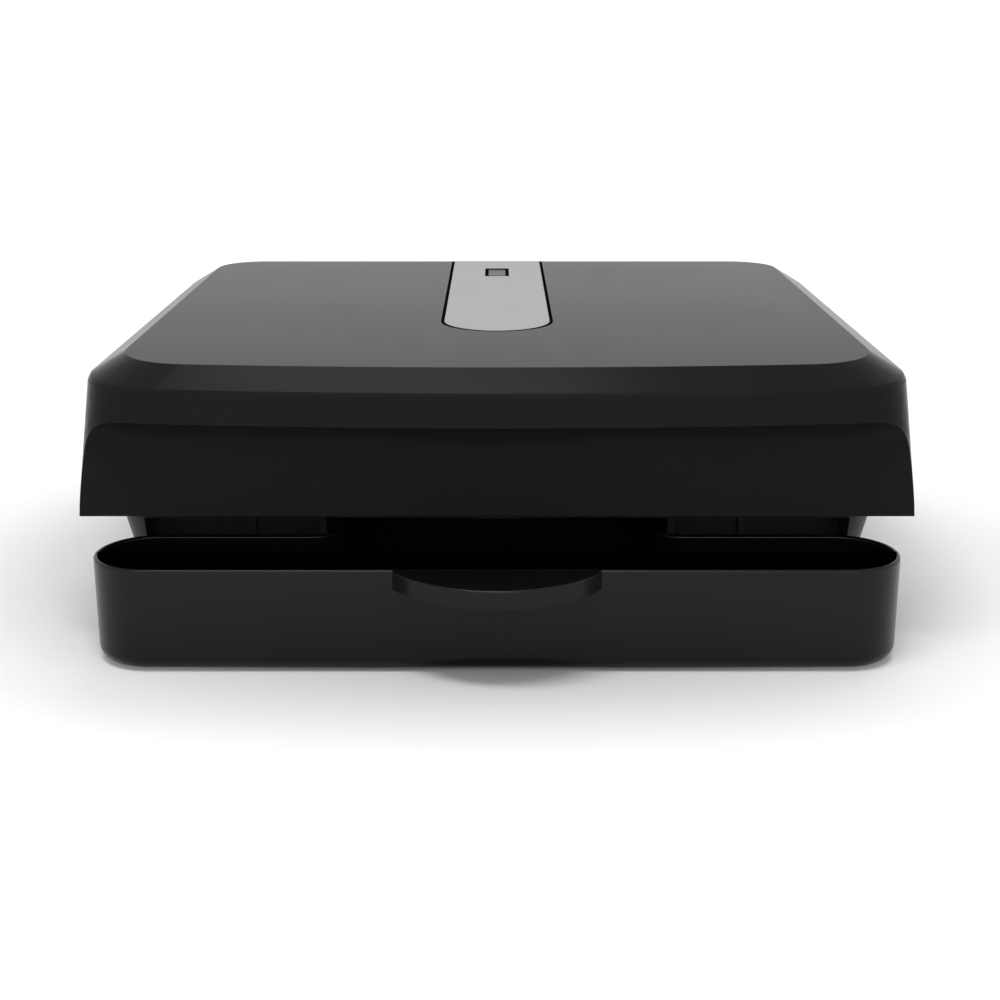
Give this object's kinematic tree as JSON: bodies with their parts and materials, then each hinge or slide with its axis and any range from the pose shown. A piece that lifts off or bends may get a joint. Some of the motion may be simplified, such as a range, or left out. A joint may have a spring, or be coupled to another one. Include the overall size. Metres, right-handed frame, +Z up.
{
  "type": "sandwich grill",
  "caption": "Low countertop sandwich grill with a bevelled hinged lid, silver trim strip with a pilot window, ribbed plates and a full-width drip tray with a pull tab",
  "frame": {"origin": "centre of the overall footprint, on the surface that the feet stand on", "axes": "+X to the right as seen from the front, +Y to the back where the hinge is, +Z up; the front with the pull tab faces -Y"},
  "size_m": [0.269, 0.2686, 0.0981],
  "materials": {
    "cover_plastic": "satin moulded black",
    "housing_plastic": "fine matte texture",
    "tray_plastic": "satin moulded black",
    "silver_trim": "satin silver lacquer",
    "trim_black": "gloss",
    "lens_grey": "smoke tinted, polished",
    "lamp_glass": "clear bulb",
    "grill_coating": "non-stick coating on cast aluminium",
    "element_steel": "heat-tinted tube",
    "sheet_steel": "zinc-plated sheet",
    "screw_steel": "zinc-plated",
    "sheet_aluminium": "mill finish",
    "control_body": "moulded phenolic",
    "white_plastic": "moulded",
    "lead_sleeve": "woven glass-fibre sleeve",
    "black_rubber": "matte"
  },
  "bodies": {
    "base": {"base_housing": "housing_plastic", "bottom_cover": "housing_plastic", "bottom_cover_screws": "screw_steel", "lower_plate": "grill_coating", "lower_plate_screws": "screw_steel", "lower_element": "element_steel", "lower_element_clamps": "sheet_steel", "lower_clamp_screws": "screw_steel", "lower_heat_shield": "sheet_aluminium", "lower_shield_screws": "screw_steel", "thermostat": "control_body", "thermal_fuse": "control_body", "terminal_block": "white_plastic", "base_wiring": "lead_sleeve", "cord_gland": "black_rubber", "foot_front_left": "black_rubber", "foot_front_right": "black_rubber", "foot_rear_left": "black_rubber", "foot_rear_right": "black_rubber"},
    "hinge_pins": {"hinge_pin_left": "screw_steel", "hinge_pin_right": "screw_steel", "pin_clips": "sheet_steel"},
    "lid": {"lid_cover": "cover_plastic", "lid_frame": "housing_plastic", "lid_frame_screws": "screw_steel", "top_insert": "silver_trim", "pilot_bezel": "trim_black", "pilot_lens": "lens_grey", "pilot_lamp": "lamp_glass", "lamp_holder": "white_plastic", "lamp_holder_screws": "screw_steel", "upper_plate": "grill_coating", "upper_plate_clips": "sheet_steel", "upper_element": "element_steel", "upper_element_clamps": "sheet_steel", "upper_clamp_screws": "screw_steel", "upper_heat_shield": "sheet_aluminium", "upper_shield_screws": "screw_steel", "lid_wiring": "lead_sleeve"},
    "tray": {"drip_tray": "tray_plastic"}
  },
  "joints": [
    {"name": "lid_float", "type": "slide", "parent": "base", "child": "hinge_pins", "axis": [0, 0, 1], "range_m": [0, 0.012]},
    {"name": "lid_hinge", "type": "hinge", "parent": "hinge_pins", "child": "lid", "pos_m": [0, 0.1263, 0.0608], "axis": [-1, 0, 0], "range_deg": [0, 100]},
    {"name": "tray_slide", "type": "slide", "parent": "base", "child": "tray", "axis": [0, -1, 0], "range_m": [0, 0.032]}
  ]
}
